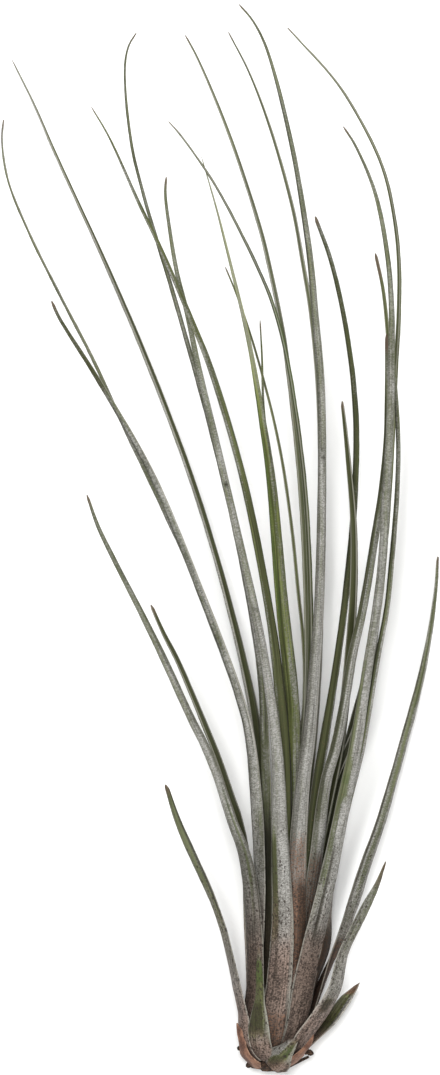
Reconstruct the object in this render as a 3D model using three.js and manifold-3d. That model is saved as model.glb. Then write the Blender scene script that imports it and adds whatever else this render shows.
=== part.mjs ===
// An air plant of the rush-leaved kind, as picked: a short stem hidden in the sheaths of
// twenty-seven long channelled leaves, lying on a table with its tips to +Y. Millimetres.
import * as THREE from "three";
import { mergeVertices } from "three/addons/utils/BufferGeometryUtils.js";
import Module from "manifold-3d";

const wasm = await Module();
wasm.setup();

// ---------- the crown: the stem's axis runs along +Y, leans to +X and rises off the table ----------
const CROWN_HEIGHT = 9.75;
const CROWN_RISE = 0.13;
const CROWN_LEAN = 0.14;
const STEM_FOOT_Y = -12.2;
const STEM_TOP_Y = 17;
const STEM_FOOT_RADIUS = 4.4;
const STEM_TOP_RADIUS = 1.6;
const STEM_SIDES = 14;

// ---------- every leaf ----------
const STEM_GAP = 0.35; // between the stem and the foot of a leaf
const SHEATH_FLARE = 5.2; // how fast a sheath opens from the stem to its shell, along Y
const SHEATH_KNOTS = [0, 1.5, 4, 8, 14, 21]; // where a sheath's route is fixed, above its foot
const SHEATH_THICKNESS = 0.8;
const BLADE_THICKNESS = 0.95;
const TIP_THICKNESS = 0.62;
// the shares of a leaf's length where its sheath starts to close, and has become a channelled blade
const LONG_LEAF_CLOSES = [0.08, 0.36];
const SHORT_LEAF_CLOSES = [0.34, 0.85];
const BLADE_OPENING = 76; // half angle of the channel's arc, degrees
const TIP_OPENING = 44;
const TIP_START = 0.72;
const ARC_POINTS = 4; // across each face of a leaf
const STEP_LENGTH = 10.5; // between two sections, on average
const STEP_CROWDING = 1.12; // sections crowd towards the sheath
const SMALLEST_INNER_RADIUS = 0.14;
const CUT_MARGIN = 0.25; // left between two sheaths where one is cut back by the other
const TOUCHING = 0.1;
// at shares of a leaf's length, how much of its sheath's, its waist's and its tip's width it has
const WIDTH_ALONG = [
  [0, [0.62, 0, 0]], [0.05, [1, 0, 0]], [0.12, [0.9, 0.1, 0]], [0.2, [0.62, 0.38, 0]], [0.3, [0.35, 0.65, 0]],
  [0.38, [0.12, 0.88, 0]], [0.45, [0, 1, 0]], [0.7, [0, 0.72, 0.28]], [0.9, [0, 0.34, 0.66]], [1, [0, 0, 1]],
];
const SHORT_WIDTH_ALONG = [
  [0, [0.6, 0, 0]], [0.14, [1, 0, 0]], [0.3, [0.85, 0.15, 0]], [0.55, [0, 1, 0]], [0.8, [0, 0.66, 0.34]],
  [1, [0, 0, 1]],
];

// ---------- the eye that the keel points are written for ----------
const EYE = new THREE.Vector3(-17.1, 148.65, 3600);
const PLANT_MIDDLE = 25; // the height at which a point is where the eye sees it

// ---------- colours ----------
const SILVER_GREEN = 0x8f8f80;
const OLIVE = 0x66704a;
const DARK_GREEN = 0x4c5a3a;
const YELLOW_GREEN = 0x7d8a4e;
const DRY_BROWN = 0x94654a;
const STEM_BROWN = 0x3d322b;

// The leaves. around: where the leaf leaves the stem, degrees round the crown, 90 being up;
// foot: Y of its foot; shell: radius of its sheath; widths: across its sheath, waist and tip;
// turn: degrees that its blade is turned further round; blade: points of its keel from the sheath
// to the tip, as the eye sees them.
const LEAVES = [
  {
    name: "leaf_01", around: 204, foot: 3, shell: 8.8,
    widths: [7.2, 3, 0.9], turn: -30, colour: SILVER_GREEN,
    blade: [[-6, 52, 18.4], [-8.3, 88, 25.2], [-22, 130, 31.5], [-34.5, 158, 35], [-45.6, 181.3, 38.5],
      [-55.1, 202, 42], [-64.9, 221, 45], [-74.3, 240, 47.5], [-80.7, 256, 50], [-82.5, 268, 51.5],
      [-82, 274, 52.5]],
  },
  {
    name: "leaf_02", around: 162, foot: -1, shell: 10.1,
    widths: [8, 3.6, 1.4], turn: -30, colour: DARK_GREEN,
    blade: [[-5.9, 52, 24.8], [-8.3, 88, 31], [-11.5, 101, 33], [-22.4, 130.5, 37.6],
      [-34.3, 160.1, 41.5], [-41, 174.1, 43], [-54.6, 197.4, 45.5], [-65.5, 214.9, 47.5],
      [-67.6, 219.7, 48]],
  },
  {
    name: "leaf_03", around: 216, foot: 0, shell: 9.9,
    widths: [8, 3.1, 0.6], colour: OLIVE,
    blade: [[-4.6, 52, 10.8], [-6.6, 91, 14.5], [-14.8, 129.5, 14.5], [-26, 167, 11.5], [-40.8, 206, 5.5],
      [-53.6, 235.7, 0.8], [-60, 249.7, 0.3], [-66.9, 264.8, 1.5], [-72.6, 278, 3.5], [-79.5, 292, 6.5]],
  },
  {
    name: "leaf_04", around: 96, foot: 3, shell: 8.8,
    widths: [7.2, 3.1, 0.5], colour: OLIVE,
    blade: [[2, 52, 26.2], [2, 85, 31.8], [0.2, 108, 35], [-2.4, 127, 38], [-10.1, 166, 47],
      [-19.8, 199, 55.5], [-25.3, 213, 58], [-35.6, 236.8, 62], [-41.5, 249.2, 64], [-50.5, 269, 67],
      [-55.8, 278, 68.5]],
  },
  {
    name: "leaf_05", around: 150, foot: 3, shell: 8.8,
    widths: [7.2, 2.9, 0.9], colour: SILVER_GREEN,
    blade: [[-3.6, 54, 23.2], [-4, 88, 28], [-5, 108, 30.5], [-11.6, 146, 35.5], [-19.1, 178, 39],
      [-24.7, 199, 42], [-31.4, 222.5, 45], [-35.8, 237, 46.5], [-39.9, 251, 48], [-43.7, 267, 50],
      [-45.6, 289, 53], [-44.5, 296, 54.5], [-42.2, 300, 55.5]],
  },
  {
    name: "leaf_06", around: 98, foot: -6, shell: 11.7,
    widths: [8.2, 3.2, 1], colour: SILVER_GREEN,
    blade: [[1.6, 34, 27.8], [0.9, 54, 31.8], [0.3, 78, 36], [-0.5, 89, 37.8], [-4.3, 115, 40.5],
      [-7.3, 130, 42.5], [-11, 146, 44.5], [-18.4, 178, 49], [-23.4, 199, 52], [-27, 216, 54],
      [-30, 228, 55], [-32.2, 241, 56], [-33.5, 252, 57], [-33.2, 257, 57.5]],
  },
  {
    name: "leaf_07", around: 325, foot: 7, shell: 7.6,
    widths: [6.6, 2.6, 0.8], colour: DARK_GREEN,
    blade: [[8.3, 52, 16], [9.3, 88, 25.5], [10, 108, 30.5], [10.1, 130, 34.5], [8.2, 166, 41],
      [2.9, 203, 48.5], [-1.4, 219, 51], [-5.5, 229, 53], [-13.4, 245, 56], [-19.6, 256, 58],
      [-29.1, 269.5, 61], [-32.6, 273.5, 62]],
  },
  {
    name: "leaf_08", around: 235, foot: 8, shell: 7.4,
    widths: [6.6, 2.6, 0.8], colour: SILVER_GREEN,
    blade: [[2.4, 52, 13.6], [8.4, 88, 19], [9.3, 108, 25.5], [8.9, 130, 30], [6.9, 166, 36],
      [2.8, 203, 42.5], [1, 214, 44.5], [-1.8, 227.5, 46.5], [-5, 241, 48.5], [-14.3, 269.5, 52.5],
      [-23.6, 292, 56.5], [-27.6, 299.5, 58.5]],
  },
  {
    name: "leaf_09", around: 112, foot: 7, shell: 7.6,
    widths: [6.8, 4.7, 0.5], colour: YELLOW_GREEN,
    blade: [[4.2, 52, 21.8], [4.8, 88, 28.2], [4.2, 102, 31], [1.5, 127, 35.5], [-1.9, 166, 41],
      [-4.5, 184, 44], [-8.4, 207, 47.5], [-15, 235, 51.5], [-18.2, 247.5, 53.5], [-22.7, 263, 55.5]],
  },
  {
    name: "leaf_10", around: 258, foot: -1, shell: 9.9,
    widths: [5.2, 1.5, 0.7], colour: OLIVE,
    blade: [[2.6, 52, 8], [6.4, 84, 13.8], [8, 96, 17], [8.3, 108, 20.5], [7.7, 120, 23.5],
      [6.5, 131, 25.7], [4.6, 150, 29.5], [1.9, 169.5, 33], [-1, 184, 35.5], [-4.7, 198.4, 38],
      [-8.1, 210, 40], [-12.1, 221.5, 42], [-15.6, 230, 43.5]],
  },
  {
    name: "leaf_11", around: 85, foot: 12, shell: 6.3,
    widths: [4.6, 1.7, 0.6], colour: OLIVE,
    blade: [[4.8, 52, 17.6], [4.4, 88, 23.8], [3.5, 102, 26.8], [1.2, 127, 31.2], [-1.5, 166, 36.6],
      [-3.7, 184, 39.5], [-4.2, 191, 41], [-4.5, 202.5, 43], [-5.1, 214, 45]],
  },
  {
    name: "leaf_12", around: 280, foot: 4, shell: 8.6,
    widths: [7.2, 2.4, 0.6], colour: SILVER_GREEN,
    blade: [[6, 52, 11], [10.4, 88, 13.2], [12.2, 110, 15.6], [13, 130, 18], [13.2, 160, 22],
      [12.6, 190, 26.5], [10.4, 215, 30.5], [7.6, 232, 33.5], [4.7, 247.5, 36], [-1.9, 271, 40.5],
      [-8.3, 288, 44], [-14.7, 300.5, 47]],
  },
  {
    name: "leaf_13", around: 73, foot: -1, shell: 10.1,
    widths: [7.2, 3.5, 0.7], colour: SILVER_GREEN,
    blade: [[6.4, 52, 28.2], [8.1, 76, 30], [9.7, 88, 31], [11.3, 108, 35], [12.8, 130, 39],
      [13.6, 171, 44.5], [13.2, 195, 48.5], [11.4, 216.5, 52], [10, 232, 54], [7, 252.5, 57.5],
      [4.5, 266, 60], [-0.8, 288, 63.5], [-4.2, 298, 65.5], [-7.5, 304, 66.5], [-11.6, 308.8, 67.5]],
  },
  {
    name: "leaf_14", around: 318, foot: -1, shell: 10.3,
    widths: [7.4, 2.7, 0.8], colour: OLIVE,
    blade: [[14.5, 50, 11.5], [22.3, 88, 13.8], [27, 108, 15.2], [32, 142, 18.5], [34.2, 170, 22.5],
      [35.6, 198, 27.5], [36.6, 216, 31], [36.6, 231.5, 34], [35.6, 242, 36.5], [33.1, 255, 39],
      [29.5, 265, 41.5], [18.7, 284, 46], [6.9, 297.5, 50], [3.1, 301.6, 51.5]],
  },
  {
    name: "leaf_15", around: 53, foot: -5.5, shell: 11.4,
    widths: [8.8, 3.9, 0.9], colour: SILVER_GREEN,
    blade: [[17.2, 52, 28], [21.7, 75.5, 30], [23.7, 85, 31], [27.9, 113, 36], [30.2, 127.5, 39],
      [31.8, 142, 42], [33, 163, 46.5], [34.2, 186, 50], [34.5, 205, 52], [34.5, 215.5, 53],
      [33.4, 231.5, 55], [29.6, 251.5, 59], [23.6, 266, 62], [19.8, 272, 63.5]],
  },
  {
    name: "leaf_16", around: 270, foot: -9.5, shell: 11.1,
    widths: [6.4, 2.4, 1.3], colour: OLIVE,
    blade: [[7.6, 44, 4.5], [11.5, 60, 11.2], [17, 76, 17.2], [23, 90, 19.6], [26.4, 102, 22.4],
      [29.3, 118, 26.3], [31.4, 142, 31.5], [32.8, 158, 34.5], [33.5, 175, 38], [33.9, 190, 40.5],
      [33.5, 205, 42.8], [31.9, 222.5, 45.5], [29.5, 234, 47]],
  },
  {
    name: "leaf_17", around: 44, foot: 7, shell: 7.6,
    widths: [7.4, 4.3, 1.4], colour: SILVER_GREEN,
    blade: [[12.3, 52, 23.4], [15, 75.5, 27], [17.7, 85, 29], [20.4, 98.5, 32], [22.8, 113, 35],
      [26, 127.5, 36], [28.5, 142, 38], [30.1, 152.5, 39.5], [31.6, 163, 41.5], [32.9, 178, 44],
      [33.1, 191, 45.5], [32.8, 209.8, 48]],
  },
  {
    name: "leaf_18", around: 22, foot: -1, shell: 10.2,
    widths: [7.2, 2.5, 1.4], turn: 40, colour: SILVER_GREEN,
    blade: [[15.3, 26, 18.2], [15.5, 37, 20.2], [17, 51, 22.4], [21.4, 70, 24], [25.4, 85, 25.5],
      [30.3, 113, 29], [33, 127.5, 31], [34.5, 142, 33], [35.4, 152.5, 34], [36.1, 163, 35.5],
      [36.4, 176, 37], [35.9, 188, 38], [34.7, 203, 39.4], [33.9, 214.6, 40.4]],
  },
  {
    name: "leaf_19", around: 24, foot: 11, shell: 6.4,
    widths: [6.2, 3, 1.5], turn: 30, colour: DARK_GREEN,
    blade: [[10, 51, 22.3], [12.5, 75.5, 24.5], [14.2, 86.5, 26], [18.2, 112, 29], [20.6, 130, 31],
      [23, 154.5, 33], [23.9, 180, 36], [23.1, 194, 38], [22.1, 202.5, 39], [19.8, 216.5, 41],
      [16.1, 232, 43.5], [11.4, 245, 46]],
  },
  {
    name: "leaf_20", around: 338, foot: 3, shell: 9,
    widths: [6.4, 4, 1.4], turn: -35, colour: DARK_GREEN,
    blade: [[12.3, 52, 16.8], [19.2, 88, 22.5], [21.9, 114, 28], [23, 130, 34], [23.3, 142, 37],
      [23, 154.5, 38.5], [21.7, 169, 40], [20.6, 180, 41], [19.5, 189.6, 42]],
  },
  {
    name: "leaf_21", around: 346, foot: -5.5, shell: 11.5,
    widths: [9.6, 5.2, 1.4], turn: 40, colour: SILVER_GREEN,
    blade: [[17, 22, 11.6], [20.5, 30.5, 12.2], [23.6, 40, 12.5], [27.1, 51, 12.5], [31.3, 63, 11],
      [34.9, 75.5, 9], [38.4, 88, 6.5], [40.3, 94.7, 5], [43.6, 108, 2.6], [46, 120.5, 1],
      [47.7, 133.5, 0.5], [48.2, 143, 1.2]],
  },
  {
    name: "leaf_22", around: 31, foot: -8.5, shell: 13.5,
    widths: [11.6, 6.6, 1.1], colour: SILVER_GREEN, short: true,
    blade: [[14.4, 6, 16.9], [18.2, 13.5, 18.5], [20.5, 23.5, 20.4], [23.7, 31, 22.2], [27, 38, 24.4],
      [30.1, 44.6, 26.5], [32.6, 51.5, 28.5]],
  },
  {
    name: "leaf_23", around: 338, foot: -8.8, shell: 13,
    widths: [9.5, 6.2, 0.9], turn: -40, colour: OLIVE, short: true,
    blade: [[16.2, 3, 7.4], [20, 8.8, 7.4], [24.8, 15.2, 8]],
  },
  {
    name: "leaf_24", around: 166, foot: -8.5, shell: 13,
    widths: [11, 4.2, 1.8], turn: -40, colour: SILVER_GREEN, short: true,
    blade: [[-13, 14, 16.2], [-14.7, 22.5, 18], [-17, 32, 20.5], [-20.2, 41.2, 22.5], [-24.6, 51.3, 24.5],
      [-29.7, 63.2, 27], [-33.4, 74.6, 29.5]],
  },
  {
    name: "leaf_25", around: 147, foot: -5.5, shell: 11.6,
    widths: [9.6, 3.6, 1.2], turn: -25, colour: SILVER_GREEN,
    blade: [[-8, 39, 24.5], [-10, 53.4, 27.8], [-13.8, 63.9, 29.5], [-18.6, 78.4, 31], [-22.4, 87.4, 32],
      [-25.7, 93.9, 33], [-34.9, 113.9, 35.5], [-41.5, 127.4, 37], [-47.9, 140, 38.5], [-53.7, 152, 40],
      [-57, 161.5, 41]],
  },
  {
    name: "leaf_26", around: 194, foot: -5, shell: 11.4,
    widths: [8.2, 3.2, 1.4], turn: 40, colour: DARK_GREEN,
    blade: [[-9.4, 52, 15], [-11.6, 64, 18.4], [-13.9, 71, 20.5], [-17.6, 82, 22.5], [-21.2, 91, 24.5],
      [-25.7, 102, 26.5], [-30, 112, 28.5], [-34.3, 120.5, 30], [-37.8, 128.5, 31]],
  },
  {
    name: "leaf_27", around: 121, foot: -8.5, shell: 13,
    widths: [8.8, 3.8, 0.9], colour: OLIVE, short: true,
    blade: [[-5.3, 13, 24.4], [-5.4, 21, 26.2], [-5.4, 26, 27.3]],
  },
];

// Small dry scales at the foot of the plant, made the same way.
const SCALES = [
  {
    name: "front_scale", around: 95, foot: -10.6, shell: 13.6,
    widths: [9, 5.6, 0.9], colour: OLIVE, short: true,
    blade: [[2.6, -5.4, 21], [4.8, -3, 23.4], [6.6, -1.8, 24.6]],
  },
  {
    name: "dry_scale_left", around: 158, foot: -10.7, shell: 14.3,
    widths: [11, 5, 1.6], colour: DRY_BROWN, short: true,
    blade: [[-11, -1, 13.4], [-11.9, 3, 14.2]],
  },
  {
    name: "dry_scale_right", around: 36, foot: -10.4, shell: 14.8,
    widths: [8, 3.5, 1], colour: DRY_BROWN, short: true,
    blade: [[9.6, -3.5, 18.4], [10.9, -0.5, 19.8]],
  },
];

// Dry root stubs on the stem's foot: start, end and thickness.
const ROOT_STUBS = [
  { from: [-2, -11.4, 8.5], to: [-9.8, -6.2, 4.2], radius: 0.75 },
  { from: [-1.5, -11.6, 9], to: [-7.6, -11, 7.5], radius: 0.6 },
  { from: [2, -11.4, 8.5], to: [9.6, -8, 5], radius: 0.7 },
];

// ---------- small helpers ----------
function radians(degrees) {
  return THREE.MathUtils.degToRad(degrees);
}

// How wide a leaf is at a share of its length.
function widthAt(leaf, share) {
  const table = leaf.short ? SHORT_WIDTH_ALONG : WIDTH_ALONG;
  const next = Math.max(1, table.findIndex(([key]) => key >= share));
  const [lowKey, low] = table[next - 1];
  const [highKey, high] = table[next];
  const climb = (share - lowKey) / (highKey - lowKey);
  return leaf.widths.reduce((sum, width, k) => sum + width * THREE.MathUtils.lerp(low[k], high[k], climb), 0);
}

function closingShares(leaf) {
  return leaf.short ? SHORT_LEAF_CLOSES : LONG_LEAF_CLOSES;
}

function stemRadius(y) {
  const climb = THREE.MathUtils.clamp((y - STEM_FOOT_Y) / (STEM_TOP_Y - STEM_FOOT_Y), 0, 1);
  return THREE.MathUtils.lerp(STEM_FOOT_RADIUS, STEM_TOP_RADIUS, climb);
}

function crownCentre(y) {
  return new THREE.Vector3(CROWN_LEAN * y, y, CROWN_HEIGHT + CROWN_RISE * y);
}

// A point of a leaf's keel while it is still a sheath round the crown.
function sheathPoint(leaf, y) {
  const start = stemRadius(leaf.foot) + STEM_GAP + SHEATH_THICKNESS;
  const climb = 1 - Math.exp(-(y - leaf.foot) / SHEATH_FLARE);
  const radius = THREE.MathUtils.lerp(start, leaf.shell, climb);
  const angle = radians(leaf.around);
  return crownCentre(y).add(new THREE.Vector3(radius * Math.cos(angle), 0, radius * Math.sin(angle)));
}

// Where a keel point is that is written as the eye sees it against the plant's middle height.
function inPlace({ x, y, z }) {
  const nearer = (EYE.z - z) / (EYE.z - PLANT_MIDDLE);
  return new THREE.Vector3(EYE.x + (x - EYE.x) * nearer, EYE.y + (y - EYE.y) * nearer, z);
}

// The keel from the stem to the tip, as evenly spaced points.
function keelPoints(leaf, count) {
  const bladeStart = leaf.blade[0][1];
  const room = leaf.short ? 4 : 9;
  const sheath = SHEATH_KNOTS.map((climb) => leaf.foot + climb)
    .filter((y) => y < bladeStart - room)
    .map((y) => sheathPoint(leaf, y));
  const blade = leaf.blade.map((point) => new THREE.Vector3(...point));
  const curve = new THREE.CatmullRomCurve3([...sheath, ...blade].map(inPlace), false, "centripetal");
  curve.arcLengthDivisions = 600;
  return curve.getSpacedPoints(count);
}

// For each keel point, the directions along the leaf, into its channel and across it.
function keelFrames(leaf, points) {
  const first = points[0];
  const inward = crownCentre(first.y).sub(first).normalize();
  const frames = [];
  for (let i = 0; i < points.length; i += 1) {
    const before = points[Math.max(i - 1, 0)];
    const after = points[Math.min(i + 1, points.length - 1)];
    const along = after.clone().sub(before).normalize();
    inward.addScaledVector(along, -inward.dot(along)).normalize();
    const bladeward = THREE.MathUtils.smoothstep(i / (points.length - 1), ...closingShares(leaf));
    const turned = inward.clone().applyAxisAngle(along, -radians(leaf.turn ?? 0) * bladeward);
    frames.push({ along, inward: turned, across: along.clone().cross(turned) });
  }
  return frames;
}

// The arc of a leaf's section at a share of its length.
function sectionShape(leaf, share, point, frame) {
  const halfWidth = 0.5 * widthAt(leaf, share);
  const centre = crownCentre(point.y);
  const shellRadius = centre.distanceTo(point) / Math.max(Math.abs(frame.along.y), 0.5);
  const clasp = Math.asin(Math.min(halfWidth / shellRadius, 0.92));
  const tipward = THREE.MathUtils.smoothstep(share, TIP_START, 1);
  const opening = radians(THREE.MathUtils.lerp(BLADE_OPENING, TIP_OPENING, tipward));
  const bladeward = THREE.MathUtils.smoothstep(share, ...closingShares(leaf));
  const halfAngle = THREE.MathUtils.lerp(clasp, opening, bladeward);
  const outer = halfWidth / Math.sin(halfAngle);
  const body = THREE.MathUtils.lerp(SHEATH_THICKNESS, BLADE_THICKNESS, bladeward);
  const thickness = THREE.MathUtils.lerp(body, TIP_THICKNESS, tipward);
  const inner = Math.max(outer - thickness, SMALLEST_INNER_RADIUS);
  const depth = outer - inner * Math.cos(halfAngle);
  return { halfAngle, outer, inner, centre: outer - 0.5 * depth * bladeward };
}

// A thick channelled strip: the section's outer arc, then its inner arc back. With a margin it
// is the space that the leaf keeps to itself.
function leafGeometry(leaf, margin = 0) {
  const samples = 400;
  const points = keelPoints(leaf, samples);
  const frames = keelFrames(leaf, points);
  const length = points.reduce((sum, p, i) => (i ? sum + p.distanceTo(points[i - 1]) : 0), 0);
  const steps = Math.max(9, Math.round(length / STEP_LENGTH));
  const ring = 2 * ARC_POINTS;
  const corners = [];
  for (let step = 0; step <= steps; step += 1) {
    const share = (step / steps) ** STEP_CROWDING;
    const sample = Math.round(share * samples);
    const point = points[sample];
    const frame = frames[sample];
    const shape = sectionShape(leaf, share, point, frame);
    const endwise = step === 0 ? -margin : step === steps ? margin : 0;
    const reach = shape.halfAngle + margin / shape.outer;
    for (let corner = 0; corner < ring; corner += 1) {
      const outside = corner < ARC_POINTS;
      const place = outside ? corner : ring - 1 - corner;
      const angle = reach * ((2 * place) / (ARC_POINTS - 1) - 1);
      const radius = outside ? shape.outer + margin : Math.max(shape.inner - margin, SMALLEST_INNER_RADIUS);
      const spot = point
        .clone()
        .addScaledVector(frame.along, endwise)
        .addScaledVector(frame.inward, shape.centre - radius * Math.cos(angle))
        .addScaledVector(frame.across, radius * Math.sin(angle));
      corners.push(spot.x, spot.y, spot.z);
    }
  }
  const faces = [];
  for (let step = 0; step < steps; step += 1) {
    for (let corner = 0; corner < ring; corner += 1) {
      const a = step * ring + corner;
      const b = step * ring + ((corner + 1) % ring);
      faces.push(a, a + ring, b, b, a + ring, b + ring);
    }
  }
  const last = steps * ring;
  for (let corner = 0; corner < ARC_POINTS - 1; corner += 1) {
    const a = corner;
    const b = corner + 1;
    const c = ring - 2 - corner;
    const d = ring - 1 - corner;
    faces.push(a, b, c, a, c, d);
    faces.push(last + a, last + c, last + b, last + a, last + d, last + c);
  }
  const geometry = new THREE.BufferGeometry();
  geometry.setAttribute("position", new THREE.Float32BufferAttribute(corners, 3));
  geometry.setIndex(faces);
  return geometry;
}

// ---------- the stem ----------
function toSolid(geometry) {
  const bare = geometry.clone();
  bare.deleteAttribute("normal");
  bare.deleteAttribute("uv");
  const merged = mergeVertices(bare);
  const mesh = new wasm.Mesh({
    numProp: 3,
    vertProperties: new Float32Array(merged.getAttribute("position").array),
    triVerts: new Uint32Array(merged.getIndex().array),
  });
  return new wasm.Manifold(mesh);
}

function toGeometry(solid) {
  const mesh = solid.getMesh();
  const geometry = new THREE.BufferGeometry();
  geometry.setAttribute("position", new THREE.BufferAttribute(mesh.vertProperties, 3));
  geometry.setIndex(new THREE.BufferAttribute(mesh.triVerts, 1));
  return geometry;
}

function rootStubGeometry({ from, to, radius }) {
  const start = new THREE.Vector3(...from);
  const end = new THREE.Vector3(...to);
  const direction = end.clone().sub(start);
  const stub = new THREE.CylinderGeometry(0.6 * radius, radius, direction.length(), 6, 2);
  stub.applyQuaternion(
    new THREE.Quaternion().setFromUnitVectors(new THREE.Vector3(0, 1, 0), direction.clone().normalize()),
  );
  const middle = start.add(end).multiplyScalar(0.5);
  return stub.translate(middle.x, middle.y, middle.z);
}

function stemGeometry() {
  const profile = [
    new THREE.Vector2(0, STEM_FOOT_Y),
    new THREE.Vector2(0.62 * STEM_FOOT_RADIUS, STEM_FOOT_Y),
    new THREE.Vector2(STEM_FOOT_RADIUS, STEM_FOOT_Y + 1.4),
    new THREE.Vector2(stemRadius(0), 0),
    new THREE.Vector2(STEM_TOP_RADIUS, STEM_TOP_Y - 1),
    new THREE.Vector2(0, STEM_TOP_Y),
  ];
  const core = new THREE.LatheGeometry(profile, STEM_SIDES);
  const lean = new THREE.Matrix4().set(
    1, CROWN_LEAN, 0, 0,
    0, 1, 0, 0,
    0, CROWN_RISE, 1, CROWN_HEIGHT,
    0, 0, 0, 1,
  );
  core.applyMatrix4(lean);
  let solid = toSolid(core);
  for (const stub of ROOT_STUBS) {
    solid = solid.add(toSolid(rootStubGeometry(stub)));
  }
  return toGeometry(solid);
}

// Leaves from the outermost in: each is pressed flat where it reaches the table, z = 0, and cut
// back where it meets one that is already there.
function growLeaves(leaves) {
  const placed = [];
  for (const leaf of [...leaves].sort((a, b) => a.foot - b.foot)) {
    let solid = toSolid(leafGeometry(leaf)).trimByPlane([0, 0, 1], 0);
    for (const other of placed) {
      if (solid.minGap(other.solid, CUT_MARGIN) < TOUCHING) {
        solid = solid.subtract(other.space);
      }
    }
    const pieces = solid.decompose().sort((a, b) => b.volume() - a.volume());
    placed.push({ leaf, solid: pieces[0], space: toSolid(leafGeometry(leaf, CUT_MARGIN)) });
  }
  return placed;
}

// ---------- assembly ----------
function pieceOf(name, geometry, colour, roughness) {
  const material = new THREE.MeshStandardMaterial({ color: colour, roughness, metalness: 0 });
  const mesh = new THREE.Mesh(geometry, material);
  mesh.name = name;
  return mesh;
}

const plant = new THREE.Group();
plant.add(pieceOf("stem", stemGeometry(), STEM_BROWN, 0.9));
for (const { leaf, solid } of growLeaves([...LEAVES, ...SCALES])) {
  plant.add(pieceOf(leaf.name, toGeometry(solid), leaf.colour, 0.75));
}

export default plant;
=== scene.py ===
"""An air plant lying on a pale table: each leaf is grown again, finer, along the keel of its solid,
with ribs, thin rounded margins, silvery scurf and a dry dotted sheath. The stem keeps its solid and
gets three lumpy root stubs. Millimetres are turned into metres where a mesh is made."""
import math

import bpy
import numpy as np
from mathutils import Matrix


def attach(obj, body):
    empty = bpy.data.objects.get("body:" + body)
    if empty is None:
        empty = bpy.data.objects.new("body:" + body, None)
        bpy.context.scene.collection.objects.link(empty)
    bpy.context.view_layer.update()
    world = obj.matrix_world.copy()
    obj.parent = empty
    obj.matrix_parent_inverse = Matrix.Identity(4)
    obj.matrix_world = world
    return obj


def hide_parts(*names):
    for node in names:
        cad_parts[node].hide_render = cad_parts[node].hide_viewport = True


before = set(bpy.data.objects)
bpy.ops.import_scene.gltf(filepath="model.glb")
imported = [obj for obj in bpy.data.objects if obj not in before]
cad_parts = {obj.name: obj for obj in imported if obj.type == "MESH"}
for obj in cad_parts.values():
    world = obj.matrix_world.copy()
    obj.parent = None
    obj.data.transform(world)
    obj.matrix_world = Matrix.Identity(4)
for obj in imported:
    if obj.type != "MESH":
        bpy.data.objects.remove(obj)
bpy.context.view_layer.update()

MM = 0.001
BODY = "root"

# ---------- the crown: the stem's axis runs along +Y, leans to +X and rises off the table ----------
CROWN_HEIGHT = 9.75
CROWN_RISE = 0.13
CROWN_LEAN = 0.14
STEM_FOOT_Y = -12.2
STEM_TOP_Y = 17
STEM_FOOT_RADIUS = 4.4
STEM_TOP_RADIUS = 1.6

# ---------- every leaf ----------
STEM_GAP = 0.35
SHEATH_FLARE = 5.2  # in each such length a sheath widens by two thirds of what its shell still lacks
SHEATH_KNOTS = (0, 1.5, 4, 8, 14, 21)
SHEATH_TO_BLADE = 9  # along Y, from the last point of a sheath to the first of its blade, at least
SHORT_SHEATH_TO_BLADE = 4
WIDEST_CLASP = 0.92  # sine of the half angle that a sheath reaches round the crown, at most
STEEPEST_CUT = 0.5  # least share of a keel's run that is along Y where its shell is measured
SHEATH_THICKNESS = 0.8
BLADE_THICKNESS = 0.95
TIP_THICKNESS = 0.62
LONG_LEAF_CLOSES = (0.08, 0.36)  # shares of a leaf's length between which a sheath becomes a blade
SHORT_LEAF_CLOSES = (0.34, 0.85)
SLIMMING = (0.5, 0.85)  # shares between which a slimmer leaf loses its width
BLADE_OPENING = math.radians(76)
TIP_OPENING = math.radians(44)
TIP_START = 0.72
SMALLEST_INNER_RADIUS = 0.14
# At shares of a leaf's length, how much of its sheath's, its waist's and its tip's width it has.
WIDTH_ALONG = (
    (0, (0.62, 0, 0)), (0.05, (1, 0, 0)), (0.12, (0.9, 0.1, 0)), (0.2, (0.62, 0.38, 0)),
    (0.3, (0.35, 0.65, 0)), (0.38, (0.12, 0.88, 0)), (0.45, (0, 1, 0)), (0.7, (0, 0.72, 0.28)),
    (0.9, (0, 0.34, 0.66)), (1, (0, 0, 1)),
)
SHORT_WIDTH_ALONG = (
    (0, (0.6, 0, 0)), (0.14, (1, 0, 0)), (0.3, (0.85, 0.15, 0)), (0.55, (0, 1, 0)),
    (0.8, (0, 0.66, 0.34)), (1, (0, 0, 1)),
)
WIDTH_SAMPLES = 401
WIDTH_BLUR = 17  # samples over which a leaf's width is rounded off

# ---------- the finer skin ----------
STRETCH_SAMPLES = 60  # between two points of a keel
ROUTE_SAMPLES = 800
SECTION_STEP = 1.25
SHORT_SECTION_STEP = 0.55
FEWEST_SECTIONS = 24
OUTER_POINTS = 37
INNER_POINTS = 25
MARGIN_CROWDING = 0.45  # how far the points of a section crowd towards its margins
MARGIN_THINNING = 0.45  # how much thinner a leaf is at its margins than over its keel
MARGIN_ROUNDNESS = 9
OUTER_RIBS = 8
INNER_RIBS = 5
RIB_HEIGHT = 0.045
RIB_SETTLING = 12  # length from the foot over which the ribs rise
FULL_RIB_HALF_WIDTH = 2  # narrower blades have lower ribs
SWELL_HEIGHT = 0.05
SWELL_LENGTHS = (13, 5, 3)
WIDTH_WAVER = 0.03  # share by which a leaf's margins wander
WAVER_LENGTHS = (47, 21, 9)
WAVER_SEED = 50
WAVE_SPREAD = (0.8, 1.2)  # how far a wave's length may differ from the one given
WAVE_FADE = 0.6  # the height of each shorter wave, as a share of the one before
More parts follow.
